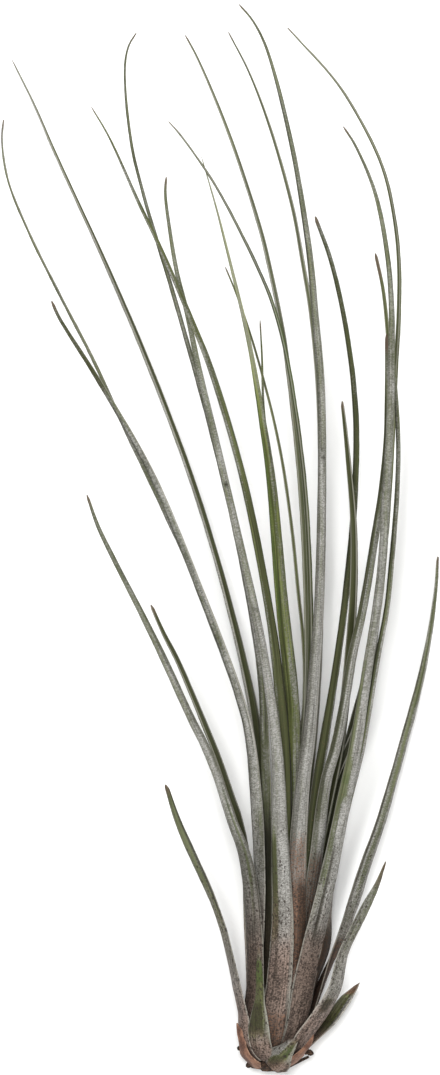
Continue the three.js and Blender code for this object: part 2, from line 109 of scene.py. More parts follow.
TIP_ROUNDING = 1.6  # length over which a tip closes
TIP_RINGS = (0.6, 0.3, 0.12, 0.03)  # shares of that length where it has sections
TIP_FLATNESS = 0.75  # how much of its thickness a tip keeps as it closes
TIP_POINT = 0.02
CHANNEL_OFFSET = 40  # sets the patterns of the two faces apart
LEAF_OFFSET = 7.3  # sets the patterns of the leaves apart

# Leaves, as their solids have them. around: where the leaf leaves the stem, degrees round the crown,
# 90 being up; foot: Y of its foot; shell: radius of its sheath; widths: across its sheath, its waist
# and its tip; turn: degrees that its blade is turned further round its keel; slimmer: the share of its
# width that it loses towards its tip; blade: points of its keel from the sheath to the tip, as the eye
# sees them, with their height.
LEAVES = {
    "leaf_01": dict(
        around=204, foot=3, shell=8.8, widths=(7.2, 3, 0.9), turn=-30, slot="silver_leaf",
        blade=(
            (-6, 52, 18.4), (-8.3, 88, 25.2), (-22, 130, 31.5), (-34.5, 158, 35), (-45.6, 181.3, 38.5),
            (-55.1, 202, 42), (-64.9, 221, 45), (-74.3, 240, 47.5), (-80.7, 256, 50), (-82.5, 268, 51.5),
            (-82, 274, 52.5),
        ),
    ),
    "leaf_02": dict(
        around=162, foot=-1, shell=10.1, widths=(8, 3.6, 1.4), turn=-30, slot="dark_leaf",
        blade=(
            (-5.9, 52, 24.8), (-8.3, 88, 31), (-11.5, 101, 33), (-22.4, 130.5, 37.6), (-34.3, 160.1, 41.5),
            (-41, 174.1, 43), (-54.6, 197.4, 45.5), (-65.5, 214.9, 47.5), (-67.6, 219.7, 48),
        ),
    ),
    "leaf_03": dict(
        around=216, foot=0, shell=9.9, widths=(8, 3.1, 0.6), slot="olive_leaf",
        blade=(
            (-4.6, 52, 10.8), (-6.6, 91, 14.5), (-14.8, 129.5, 14.5), (-26, 167, 11.5), (-40.8, 206, 5.5),
            (-53.6, 235.7, 0.8), (-60, 249.7, 0.3), (-66.9, 264.8, 1.5), (-72.6, 278, 3.5),
            (-79.5, 292, 6.5),
        ),
    ),
    "leaf_04": dict(
        around=96, foot=3, shell=8.8, widths=(7.2, 3.1, 0.5), slot="olive_leaf",
        blade=(
            (2, 52, 26.2), (2, 85, 31.8), (0.2, 108, 35), (-2.4, 127, 38), (-10.1, 166, 47),
            (-19.8, 199, 55.5), (-25.3, 213, 58), (-35.6, 236.8, 62), (-41.5, 249.2, 64), (-50.5, 269, 67),
            (-55.8, 278, 68.5),
        ),
    ),
    "leaf_05": dict(
        around=150, foot=3, shell=8.8, widths=(7.2, 2.9, 0.9), slot="silver_leaf",
        blade=(
            (-3.6, 54, 23.2), (-4, 88, 28), (-5, 108, 30.5), (-11.6, 146, 35.5), (-19.1, 178, 39),
            (-24.7, 199, 42), (-31.4, 222.5, 45), (-35.8, 237, 46.5), (-39.9, 251, 48), (-43.7, 267, 50),
            (-45.6, 289, 53), (-44.5, 296, 54.5), (-42.2, 300, 55.5),
        ),
    ),
    "leaf_06": dict(
        around=98, foot=-6, shell=11.7, widths=(8.2, 3.2, 1), slot="silver_leaf",
        blade=(
            (1.6, 34, 27.8), (0.9, 54, 31.8), (0.3, 78, 36), (-0.5, 89, 37.8), (-4.3, 115, 40.5),
            (-7.3, 130, 42.5), (-11, 146, 44.5), (-18.4, 178, 49), (-23.4, 199, 52), (-27, 216, 54),
            (-30, 228, 55), (-32.2, 241, 56), (-33.5, 252, 57), (-33.2, 257, 57.5),
        ),
    ),
    "leaf_07": dict(
        around=325, foot=7, shell=7.6, widths=(6.6, 2.6, 0.8), slot="dark_leaf",
        blade=(
            (8.3, 52, 16), (9.3, 88, 25.5), (10, 108, 30.5), (10.1, 130, 34.5), (8.2, 166, 41),
            (2.9, 203, 48.5), (-1.4, 219, 51), (-5.5, 229, 53), (-13.4, 245, 56), (-19.6, 256, 58),
            (-29.1, 269.5, 61), (-32.6, 273.5, 62),
        ),
    ),
    "leaf_08": dict(
        around=235, foot=8, shell=7.4, widths=(6.6, 2.6, 0.8), slot="silver_leaf",
        blade=(
            (2.4, 52, 13.6), (8.4, 88, 19), (9.3, 108, 25.5), (8.9, 130, 30), (6.9, 166, 36),
            (2.8, 203, 42.5), (1, 214, 44.5), (-1.8, 227.5, 46.5), (-5, 241, 48.5), (-14.3, 269.5, 52.5),
            (-23.6, 292, 56.5), (-27.6, 299.5, 58.5),
        ),
    ),
    "leaf_09": dict(
        around=112, foot=7, shell=7.6, widths=(6.8, 4.7, 0.5), slimmer=0.4, slot="yellow_leaf",
        blade=(
            (4.2, 52, 21.8), (4.8, 88, 28.2), (4.2, 102, 31), (1.5, 127, 35.5), (-1.9, 166, 41),
            (-4.5, 184, 44), (-8.4, 207, 47.5), (-15, 235, 51.5), (-18.2, 247.5, 53.5), (-22.7, 263, 55.5),
        ),
    ),
    "leaf_10": dict(
        around=258, foot=-1, shell=9.9, widths=(5.2, 1.5, 0.7), slot="olive_leaf",
        blade=(
            (2.6, 52, 8), (6.4, 84, 13.8), (8, 96, 17), (8.3, 108, 20.5), (7.7, 120, 23.5),
            (6.5, 131, 25.7), (4.6, 150, 29.5), (1.9, 169.5, 33), (-1, 184, 35.5), (-4.7, 198.4, 38),
            (-8.1, 210, 40), (-12.1, 221.5, 42), (-15.6, 230, 43.5),
        ),
    ),
    "leaf_11": dict(
        around=85, foot=12, shell=6.3, widths=(4.6, 1.7, 0.6), slot="olive_leaf",
        blade=(
            (4.8, 52, 17.6), (4.4, 88, 23.8), (3.5, 102, 26.8), (1.2, 127, 31.2), (-1.5, 166, 36.6),
            (-3.7, 184, 39.5), (-4.2, 191, 41), (-4.5, 202.5, 43), (-5.1, 214, 45),
        ),
    ),
    "leaf_12": dict(
        around=280, foot=4, shell=8.6, widths=(7.2, 2.4, 0.6), slot="silver_leaf",
        blade=(
            (6, 52, 11), (10.4, 88, 13.2), (12.2, 110, 15.6), (13, 130, 18), (13.2, 160, 22),
            (12.6, 190, 26.5), (10.4, 215, 30.5), (7.6, 232, 33.5), (4.7, 247.5, 36), (-1.9, 271, 40.5),
            (-8.3, 288, 44), (-14.7, 300.5, 47),
        ),
    ),
    "leaf_13": dict(
        around=73, foot=-1, shell=10.1, widths=(7.2, 3.5, 0.7), slot="silver_leaf",
        blade=(
            (6.4, 52, 28.2), (8.1, 76, 30), (9.7, 88, 31), (11.3, 108, 35), (12.8, 130, 39),
            (13.6, 171, 44.5), (13.2, 195, 48.5), (11.4, 216.5, 52), (10, 232, 54), (7, 252.5, 57.5),
            (4.5, 266, 60), (-0.8, 288, 63.5), (-4.2, 298, 65.5), (-7.5, 304, 66.5), (-11.6, 308.8, 67.5),
        ),
    ),
    "leaf_14": dict(
        around=318, foot=-1, shell=10.3, widths=(7.4, 2.7, 0.8), slot="olive_leaf",
        blade=(
            (14.5, 50, 11.5), (22.3, 88, 13.8), (27, 108, 15.2), (32, 142, 18.5), (34.2, 170, 22.5),
            (35.6, 198, 27.5), (36.6, 216, 31), (36.6, 231.5, 34), (35.6, 242, 36.5), (33.1, 255, 39),
            (29.5, 265, 41.5), (18.7, 284, 46), (6.9, 297.5, 50), (3.1, 301.6, 51.5),
        ),
    ),
    "leaf_15": dict(
        around=53, foot=-5.5, shell=11.4, widths=(8.8, 3.9, 0.9), slot="silver_leaf",
        blade=(
            (17.2, 52, 28), (21.7, 75.5, 30), (23.7, 85, 31), (27.9, 113, 36), (30.2, 127.5, 39),
            (31.8, 142, 42), (33, 163, 46.5), (34.2, 186, 50), (34.5, 205, 52), (34.5, 215.5, 53),
            (33.4, 231.5, 55), (29.6, 251.5, 59), (23.6, 266, 62), (19.8, 272, 63.5),
        ),
    ),
    "leaf_16": dict(
        around=270, foot=-9.5, shell=11.1, widths=(6.4, 2.4, 1.3), slot="olive_leaf",
        blade=(
            (7.6, 44, 4.5), (11.5, 60, 11.2), (17, 76, 17.2), (23, 90, 19.6), (26.4, 102, 22.4),
            (29.3, 118, 26.3), (31.4, 142, 31.5), (32.8, 158, 34.5), (33.5, 175, 38), (33.9, 190, 40.5),
            (33.5, 205, 42.8), (31.9, 222.5, 45.5), (29.5, 234, 47),
        ),
    ),
    "leaf_17": dict(
        around=44, foot=7, shell=7.6, widths=(7.4, 4.3, 1.4), slot="silver_leaf",
        blade=(
            (12.3, 52, 23.4), (15, 75.5, 27), (17.7, 85, 29), (20.4, 98.5, 32), (22.8, 113, 35),
            (26, 127.5, 36), (28.5, 142, 38), (30.1, 152.5, 39.5), (31.6, 163, 41.5), (32.9, 178, 44),
            (33.1, 191, 45.5), (32.8, 209.8, 48),
        ),
    ),
    "leaf_18": dict(
        around=22, foot=-1, shell=10.2, widths=(7.2, 2.5, 1.4), turn=40, slot="silver_leaf",
        blade=(
            (15.3, 26, 18.2), (15.5, 37, 20.2), (17, 51, 22.4), (21.4, 70, 24), (25.4, 85, 25.5),
            (30.3, 113, 29), (33, 127.5, 31), (34.5, 142, 33), (35.4, 152.5, 34), (36.1, 163, 35.5),
            (36.4, 176, 37), (35.9, 188, 38), (34.7, 203, 39.4), (33.9, 214.6, 40.4),
        ),
    ),
    "leaf_19": dict(
        around=24, foot=11, shell=6.4, widths=(6.2, 3, 1.5), turn=30, slot="dark_leaf",
        blade=(
            (10, 51, 22.3), (12.5, 75.5, 24.5), (14.2, 86.5, 26), (18.2, 112, 29), (20.6, 130, 31),
            (23, 154.5, 33), (23.9, 180, 36), (23.1, 194, 38), (22.1, 202.5, 39), (19.8, 216.5, 41),
            (16.1, 232, 43.5), (11.4, 245, 46),
        ),
    ),
    "leaf_20": dict(
        around=338, foot=3, shell=9, widths=(6.4, 4, 1.4), turn=-35, slot="dark_leaf",
        blade=(
            (12.3, 52, 16.8), (19.2, 88, 22.5), (21.9, 114, 28), (23, 130, 34), (23.3, 142, 37),
            (23, 154.5, 38.5), (21.7, 169, 40), (20.6, 180, 41), (19.5, 189.6, 42),
        ),
    ),
    "leaf_21": dict(
        around=346, foot=-5.5, shell=11.5, widths=(9.6, 5.2, 1.4), turn=40, slot="silver_leaf",
        blade=(
            (17, 22, 11.6), (20.5, 30.5, 12.2), (23.6, 40, 12.5), (27.1, 51, 12.5), (31.3, 63, 11),
            (34.9, 75.5, 9), (38.4, 88, 6.5), (40.3, 94.7, 5), (43.6, 108, 2.6), (46, 120.5, 1),
            (47.7, 133.5, 0.5), (48.2, 143, 1.2),
        ),
    ),
    "leaf_22": dict(
        around=31, foot=-8.5, shell=13.5, widths=(11.6, 6.6, 1.1), short=True, slot="silver_leaf",
        blade=(
            (14.4, 6, 16.9), (18.2, 13.5, 18.5), (20.5, 23.5, 20.4), (23.7, 31, 22.2), (27, 38, 24.4),
            (30.1, 44.6, 26.5), (32.6, 51.5, 28.5),
        ),
    ),
    "leaf_23": dict(
        around=338, foot=-8.8, shell=13, widths=(9.5, 6.2, 0.9), turn=-40, short=True, slot="olive_leaf",
        blade=(
            (16.2, 3, 7.4), (20, 8.8, 7.4), (24.8, 15.2, 8),
        ),
    ),
    "leaf_24": dict(
        around=166, foot=-8.5, shell=13, widths=(11, 4.2, 1.8), turn=-40, short=True, slot="silver_leaf",
        blade=(
            (-13, 14, 16.2), (-14.7, 22.5, 18), (-17, 32, 20.5), (-20.2, 41.2, 22.5), (-24.6, 51.3, 24.5),
            (-29.7, 63.2, 27), (-33.4, 74.6, 29.5),
        ),
    ),
    "leaf_25": dict(
        around=147, foot=-5.5, shell=11.6, widths=(9.6, 3.6, 1.2), turn=-25, slot="silver_leaf",
        blade=(
            (-8, 39, 24.5), (-10, 53.4, 27.8), (-13.8, 63.9, 29.5), (-18.6, 78.4, 31), (-22.4, 87.4, 32),
            (-25.7, 93.9, 33), (-34.9, 113.9, 35.5), (-41.5, 127.4, 37), (-47.9, 140, 38.5),
            (-53.7, 152, 40), (-57, 161.5, 41),
        ),
    ),
    "leaf_26": dict(
        around=194, foot=-5, shell=11.4, widths=(8.2, 3.2, 1.4), turn=40, slot="dark_leaf",
        blade=(
            (-9.4, 52, 15), (-11.6, 64, 18.4), (-13.9, 71, 20.5), (-17.6, 82, 22.5), (-21.2, 91, 24.5),
            (-25.7, 102, 26.5), (-30, 112, 28.5), (-34.3, 120.5, 30), (-37.8, 128.5, 31),
        ),
    ),
    "leaf_27": dict(
        around=121, foot=-8.5, shell=13, widths=(8.8, 3.8, 0.9), short=True, slot="olive_leaf",
        blade=(
            (-5.3, 13, 24.4), (-5.4, 21, 26.2), (-5.4, 26, 27.3),
        ),
    ),
    "front_scale": dict(
        around=95, foot=-10.6, shell=13.6, widths=(9, 5.6, 0.9), short=True, slot="olive_leaf",
        blade=(
            (2.6, -5.4, 21), (4.8, -3, 23.4), (6.6, -1.8, 24.6),
        ),
    ),
    "dry_scale_left": dict(
        around=158, foot=-10.7, shell=14.3, widths=(11, 5, 1.6), short=True, slot="dry_scale",
        blade=(
            (-11, -1, 13.4), (-11.9, 3, 14.2),
        ),
    ),
    "dry_scale_right": dict(
        around=36, foot=-10.4, shell=14.8, widths=(8, 3.5, 1), short=True, slot="dry_scale",
        blade=(
            (9.6, -3.5, 18.4), (10.9, -0.5, 19.8),
        ),
    ),
}

# Dead root stubs at the foot: the middle line of each, as the eye sees it, and their radius.
ROOT_STUBS = {
    "root_stub_left": ((-6.5, -5.4, 9), (-9.6, -4.9, 10.5), (-12, -4.4, 11)),
    "root_stub_low": ((-4.5, -7.6, 8.5), (-7.4, -9, 9.5), (-9.3, -10.1, 9.8)),
    "root_stub_right": ((5.5, -6.4, 8.5), (8.6, -5.6, 9.5), (11, -6.3, 10)),
}
ROOT_RADIUS = 0.95
ROOT_FOOT = 0.7  # a stub's radius where it leaves the stem, as a share of its end's
ROOT_SWELLS = (0.2, 0.8)  # shares of a stub's length between which it reaches its full radius
ROOT_ROUGHNESS = 0.16
ROOT_SAMPLES = 30
ROOT_SECTIONS = 22
ROOT_POINTS = 18
ROOT_ROUNDNESS = 8
ROOT_END = 0.1  # how far the middle of its broken end stands out

# ---------- how scurf, husk and dots run along a leaf: value at shares of its length ----------
SCURF_ALONG = {
    "silver_leaf": ((0, 0.85), (0.2, 0.84), (0.5, 0.66), (0.8, 0.44), (1, 0.4)),
    "olive_leaf": ((0, 0.8), (0.2, 0.55), (0.5, 0.28), (0.8, 0.26), (1, 0.36)),
    "dark_leaf": ((0, 0.7), (0.2, 0.38), (0.5, 0.16), (0.8, 0.2), (1, 0.36)),
    "yellow_leaf": ((0, 0.7), (0.2, 0.45), (0.5, 0.3), (0.8, 0.3), (1, 0.45)),
    "dry_scale": ((0, 0.2), (1, 0.1)),
}
INSIDE_SCURF = 0.42  # the channel has less scurf than the outer face
HUSK_TOP_Y = 34  # sheaths turn from tan to silver round this place along the plant
HUSK_FADE = 16
DOTS_FULL_Y = 20
DOTS_TOP_Y = 96
RIM = (0.86, 0.99)  # where the pale margin starts and is full, from keel 0 to margin 1
DRY_TIP = 5  # length of the dried tip
EDGE_SHADE = 0.75  # how much painted shade darkens a leaf where it turns away
EDGE_TURN = (0.62, 1.02)
BAND_FADE = 0.12  # softness of a patch's sides, as a share of the leaf's half width
PATCH_FADE = 0.12  # softness of a patch's ends, as a share of its length
SHORTEST_FADE = 0.3

# ---------- the view ----------
EYE = (-17.1, 148.65, 3600)
VIEW_LENGTH = 322.5  # of the table's length in the picture, at the middle of the plant
PLANT_MIDDLE = 25  # the height at which that length is measured
SENSOR = 36
TABLE_HALF = 4.0  # metres, as are the places and sizes of the lamps
KEY_LAMP = {"place": (-0.25, 0.5, 2.6), "size": 0.9, "power": 62}
FILL_LAMP = {"place": (0.9, -0.2, 2.2), "size": 1.2, "power": 22}
LAMP_AIM = (0.0, 0.15, 0.03)
ROOM_LIGHT = 0.42


def smoothstep(value, low, high):
    """0 below low, 1 above high, and a smooth rise between."""
    rise = np.clip((np.asarray(value, float) - low) / (high - low), 0, 1)
    return rise * rise * (3 - 2 * rise)


def lerp(start, end, share):
    return start + (end - start) * share


def read_table(table, at):
    keys, values = zip(*table)
    return np.interp(at, keys, values)


def unit(vectors):
    return vectors / np.linalg.norm(vectors, axis=-1, keepdims=True)


# ---------- a leaf's keel ----------
def stem_radius(y):
    climb = np.clip((y - STEM_FOOT_Y) / (STEM_TOP_Y - STEM_FOOT_Y), 0, 1)
    return lerp(STEM_FOOT_RADIUS, STEM_TOP_RADIUS, climb)


def crown_centre(y):
    y = np.asarray(y, float)
    return np.stack([CROWN_LEAN * y, y, CROWN_HEIGHT + CROWN_RISE * y], axis=-1)


def sheath_point(leaf, y):
    """A point of a leaf's keel while it is still a sheath round the crown."""
    start = stem_radius(leaf["foot"]) + STEM_GAP + SHEATH_THICKNESS
    radius = lerp(start, leaf["shell"], 1 - math.exp(-(y - leaf["foot"]) / SHEATH_FLARE))
    angle = math.radians(leaf["around"])
    return crown_centre(y) + np.array([radius * math.cos(angle), 0, radius * math.sin(angle)])


def in_place(points):
    """Where keel points are that are written as the eye sees them against the plant's middle height."""
    points = np.array(points, float)
    nearer = (EYE[2] - points[:, 2:]) / (EYE[2] - PLANT_MIDDLE)
    points[:, :2] = EYE[:2] + (points[:, :2] - EYE[:2]) * nearer
    return points


def smooth_curve(knots, per_stretch):
    """A centripetal curve through the knots, whose ends are carried straight on."""
    knots = np.array(knots, float)
    knots = np.vstack([2 * knots[0] - knots[1], knots, 2 * knots[-1] - knots[-2]])
    share = np.linspace(0, 1, per_stretch, endpoint=False)[:, None]
    stretches = []
    for before, start, end, after in zip(knots, knots[1:], knots[2:], knots[3:]):
        gaps = [np.linalg.norm(b - a) ** 0.5 for a, b in ((before, start), (start, end), (end, after))]
        middle = (end - start) / gaps[1]
        leaving = (start - before) / gaps[0] - (end - before) / (gaps[0] + gaps[1]) + middle
        arriving = middle - (after - start) / (gaps[1] + gaps[2]) + (after - end) / gaps[2]
        leaving, arriving = leaving * gaps[1], arriving * gaps[1]
        square = -3 * start + 3 * end - 2 * leaving - arriving
        cube = 2 * start - 2 * end + leaving + arriving
        stretches.append(start + share * (leaving + share * (square + share * cube)))
    return np.vstack([*stretches, knots[-2:-1]])


def evenly(points, count):
    """The same route with its points evenly spaced, and its length."""
    reach = np.concatenate([[0], np.cumsum(np.linalg.norm(np.diff(points, axis=0), axis=1))])
    places = np.linspace(0, reach[-1], count)
    return np.stack([np.interp(places, reach, points[:, k]) for k in range(3)], axis=1), reach[-1]


def closing_shares(leaf):
    """The shares of a leaf's length where its sheath starts to close, and has become a channelled blade."""
    return SHORT_LEAF_CLOSES if leaf.get("short") else LONG_LEAF_CLOSES


def keel_route(leaf):
    blade_start = leaf["blade"][0][1]
    room = SHORT_SHEATH_TO_BLADE if leaf.get("short") else SHEATH_TO_BLADE
    heights = [leaf["foot"] + climb for climb in SHEATH_KNOTS]
    sheath = [sheath_point(leaf, y) for y in heights if y < blade_start - room]
    return evenly(smooth_curve(in_place([*sheath, *leaf["blade"]]), STRETCH_SAMPLES), ROUTE_SAMPLES)


def keel_frames(leaf, route):
    """For each keel point, the directions along the leaf, into its channel and across it."""
    along = unit(np.gradient(route, axis=0))
    inward = np.empty_like(route)
    heading = unit(crown_centre(route[0, 1]) - route[0])
    for i, forward in enumerate(along):
        heading = unit(heading - forward * heading.dot(forward))
        inward[i] = heading
    across = np.cross(along, inward)
    bladeward = smoothstep(np.linspace(0, 1, len(route)), *closing_shares(leaf))
    turned = -math.radians(leaf.get("turn", 0)) * bladeward
    inward = inward * np.cos(turned)[:, None] + across * np.sin(turned)[:, None]
    return along, inward, np.cross(along, inward)


def at_shares(rows, shares):
    """Rows of a route or of its directions, read at shares of its length."""
    places = shares * (len(rows) - 1)
    low = np.minimum(places.astype(int), len(rows) - 2)
    return rows[low] + (rows[low + 1] - rows[low]) * (places - low)[:, None]


# ---------- a leaf's skin ----------
def ring_layout():
    """Once round a section: place across from -1 to 1, and whether it is on the channel's face."""
    def crowded(count):
        even = np.linspace(-1, 1, count)
        return np.sin(0.5 * math.pi * even) * MARGIN_CROWDING + even * (1 - MARGIN_CROWDING)

    outer, inner = crowded(OUTER_POINTS), crowded(INNER_POINTS)[::-1][1:-1]
    return np.concatenate([outer, inner]), np.concatenate([np.zeros(len(outer)), np.ones(len(inner))])


def section_shapes(leaf, shares, points, along):
    """Half angle, outer and inner radius, and distance to the centre, of each section's arc."""
    fine = np.linspace(0, 1, WIDTH_SAMPLES)
    table = SHORT_WIDTH_ALONG if leaf.get("short") else WIDTH_ALONG
    places = [share for share, _ in table]
    parts = np.array([parts_there for _, parts_there in table])
    widths = sum(wide * np.interp(fine, places, parts[:, k]) for k, wide in enumerate(leaf["widths"]))
    padded = np.pad(widths, WIDTH_BLUR // 2, mode="reflect", reflect_type="odd")
    rounded = np.convolve(padded, np.full(WIDTH_BLUR, 1 / WIDTH_BLUR), "valid")
    kept = 1 - leaf.get("slimmer", 0) * smoothstep(shares, *SLIMMING)
    half_width = 0.5 * np.interp(shares, fine, rounded) * kept
    run = np.maximum(abs(along[:, 1]), STEEPEST_CUT)
    shell = np.linalg.norm(crown_centre(points[:, 1]) - points, axis=1) / run
    clasp = np.arcsin(np.minimum(half_width / shell, WIDEST_CLASP))
    tipward = smoothstep(shares, TIP_START, 1)
    bladeward = smoothstep(shares, *closing_shares(leaf))
    half_angle = lerp(clasp, lerp(BLADE_OPENING, TIP_OPENING, tipward), bladeward)
    outer = half_width / np.sin(half_angle)
    thickness = lerp(lerp(SHEATH_THICKNESS, BLADE_THICKNESS, bladeward), TIP_THICKNESS, tipward)
    inner = np.maximum(outer - thickness, SMALLEST_INNER_RADIUS)
    depth = outer - inner * np.cos(half_angle)
    return half_angle, outer, inner, outer - 0.5 * depth * bladeward, half_width


def slow_waves(places, seed, lengths):
    """A smooth irregular wave of about -1 to 1, the same at each run."""
    draw = np.random.default_rng(seed)
    total = np.zeros_like(places)
    for k, length in enumerate(lengths):
        turns = places / (length * draw.uniform(*WAVE_SPREAD))
        total += WAVE_FADE ** k * np.sin(2 * math.pi * turns + draw.uniform(0, 7))
    return total / (1 + WAVE_FADE)


def grow_leaf(name, leaf, seed):
    """The fine mesh of a leaf, with what its finish needs stored at each point."""
    route, length = keel_route(leaf)
    along, inward, across = keel_frames(leaf, route)
    step = SHORT_SECTION_STEP if leaf.get("short") else SECTION_STEP
    closing = TIP_ROUNDING * np.array(TIP_RINGS)
    body = np.linspace(0, length - TIP_ROUNDING, max(FEWEST_SECTIONS, round(length / step)))
    places = np.concatenate([body, length - closing])
    shares = places / length
    points = at_shares(route, shares)
    along, inward, across = (unit(at_shares(rows, shares)) for rows in (along, inward, across))
    half_angle, outer, inner, centre, half_width = section_shapes(leaf, shares, points, along)
    closes = np.sqrt(np.clip((length - places) / TIP_ROUNDING, 0, 1))
    side, inside = ring_layout()

    middle = 0.5 * (outer + inner)[:, None]
    thick = 0.5 * (outer - inner)[:, None]
    bulge = (1 - MARGIN_THINNING * side ** 2) * np.sqrt(np.clip(1 - abs(side) ** MARGIN_ROUNDNESS, 0, 1))
    face = np.where(inside > 0, -1, 1)
    settled = smoothstep(places, 0, RIB_SETTLING)[:, None] * closes[:, None]
    ribs = np.cos(math.pi * np.where(inside > 0, INNER_RIBS, OUTER_RIBS) * side)
    rib_share = np.minimum(half_width / FULL_RIB_HALF_WIDTH, 1)[:, None]
    swell = slow_waves(places, seed, SWELL_LENGTHS)[:, None]
    relief = RIB_HEIGHT * ribs * (1 - side ** 6) * rib_share * settled
    relief = relief + SWELL_HEIGHT * swell * settled * (1 - side ** 2)
    radius = middle + face * (thick * bulge * lerp(TIP_FLATNESS, 1, closes[:, None]) + relief)
    wide = 1 + WIDTH_WAVER * slow_waves(places, seed + WAVER_SEED, WAVER_LENGTHS)[:, None]
    angle = half_angle[:, None] * side * wide * closes[:, None]
    radius = np.maximum(radius, 0.5 * SMALLEST_INNER_RADIUS)
    spots = (
        points[:, None]
        + inward[:, None] * (centre[:, None] - radius * np.cos(angle))[..., None]
        + across[:, None] * (radius * np.sin(angle))[..., None]
    )
    spots[..., 2] = np.maximum(spots[..., 2], 0)

    right = unit(np.cross(along, [0, 0, 1.0]))
    rightward = ((spots - points[:, None]) * right[:, None]).sum(-1) / half_width[:, None]
    marks = leaf_marks(name, leaf, spots, places[:, None], shares[:, None], side, inside, rightward)
    across_skin = side * half_angle[:, None] * outer[:, None] + CHANNEL_OFFSET * inside
    marks["leaf_place"] = np.stack(
        np.broadcast_arrays(across_skin, places[:, None], LEAF_OFFSET * seed), axis=-1
    )
    foot, tip = points[0], points[-1] + along[-1] * TIP_POINT
    return skin_mesh(name + "_skin", spots, foot, tip, marks)


def grow_stub(name, middle_line, seed):
    """A short lumpy root stub with a rounded broken end."""
    route, _ = evenly(smooth_curve(in_place(middle_line), ROOT_SAMPLES), ROOT_SECTIONS)
    along = unit(np.gradient(route, axis=0))
    inward = unit(np.cross(along, [0, 0, 1.0]))
    across = np.cross(along, inward)
    shares = np.linspace(0, 1, ROOT_SECTIONS)[:, None]
    angle = np.linspace(-math.pi, math.pi, ROOT_POINTS, endpoint=False)
    draw = np.random.default_rng(seed)
    lumps = 1 + ROOT_ROUGHNESS * draw.uniform(-1, 1, (ROOT_SECTIONS, ROOT_POINTS))
    closes = np.sqrt(1.02 - shares ** ROOT_ROUNDNESS)
    radius = ROOT_RADIUS * lumps * closes * lerp(ROOT_FOOT, 1, smoothstep(shares, *ROOT_SWELLS))
    spots = (
        route[:, None]
        - inward[:, None] * (radius * np.cos(angle))[..., None]
        + across[:, None] * (radius * np.sin(angle))[..., None]
    )
    return skin_mesh(name, spots, route[0], route[-1] + along[-1] * ROOT_END, {})


def skin_mesh(name, spots, foot, tip, marks):
    """A closed mesh from rings of points, with a fan at each end."""
    count, ring = spots.shape[:2]
    corners = np.arange(count * ring).reshape(count, ring)
    near, far = corners[:-1], corners[1:]
    quads = np.stack([near, far, np.roll(far, -1, 1), np.roll(near, -1, 1)], axis=-1).reshape(-1, 4)
    first, last = corners[0], corners[-1]
    foot_fan = np.stack([np.full(ring, count * ring), first, np.roll(first, -1)], axis=-1)
    tip_fan = np.stack([np.full(ring, count * ring + 1), np.roll(last, -1), last], axis=-1)
    mesh = bpy.data.meshes.new(name)
    everywhere = np.vstack([spots.reshape(-1, 3), foot, tip]) * MM
    mesh.from_pydata(everywhere.tolist(), [], quads.tolist() + foot_fan.tolist() + tip_fan.tolist())
    mesh.polygons.foreach_set("use_smooth", np.ones(len(mesh.polygons), bool))
    for mark, values in marks.items():
        size = 3 if mark == "leaf_place" else 1
        kept = mesh.attributes.new(mark, "FLOAT_VECTOR" if size == 3 else "FLOAT", "POINT")
        values = np.broadcast_to(values, (count, ring, 3) if size == 3 else (count, ring)).reshape(-1, size)
        values = np.vstack([values, values[:1], values[-1:]]).astype(np.float32)
        kept.data.foreach_set("vector" if size == 3 else "value", values.ravel())
    mesh.validate()
    return mesh


def leaf_marks(name, leaf, spots, places, shares, side, inside, rightward):
    """What the finish reads at each point of a leaf, each from 0 to 1."""
    y = spots[..., 1]
    none = np.zeros_like(y)
    length = places.max()
    marks = {mark: none for mark in ("rust", "green", "deep", "pale")}
    marks["inside"] = inside + none
    marks["scurf"] = read_table(SCURF_ALONG[leaf["slot"]], shares) * lerp(1, INSIDE_SCURF, inside) + none
    marks["husk"] = 1 - smoothstep(y, HUSK_TOP_Y - HUSK_FADE, HUSK_TOP_Y + HUSK_FADE)
    marks["dots"] = 1 - smoothstep(y, DOTS_FULL_Y, DOTS_TOP_Y)
    marks["rim"] = smoothstep(abs(side), *RIM) + none
    marks["dried"] = smoothstep(places, length - DRY_TIP, length) + none
    # painted shade: a leaf darkens towards the sides that turn away
    marks["painted_shade_and_scars"] = EDGE_SHADE * smoothstep(abs(rightward), *EDGE_TURN)
    for mark, low, high, left, right, strength in PATCHES.get(name, ()):
        fade = PATCH_FADE * (high - low) + SHORTEST_FADE
        run = smoothstep(y, low - fade, low + fade) * (1 - smoothstep(y, high - fade, high + fade))
        band = smoothstep(rightward, left - BAND_FADE, left + BAND_FADE)
        band = band * (1 - smoothstep(rightward, right - BAND_FADE, right + BAND_FADE))
        marks[mark] = lerp(marks[mark], 1 if strength > 0 else 0, abs(strength) * run * band)
    return marks
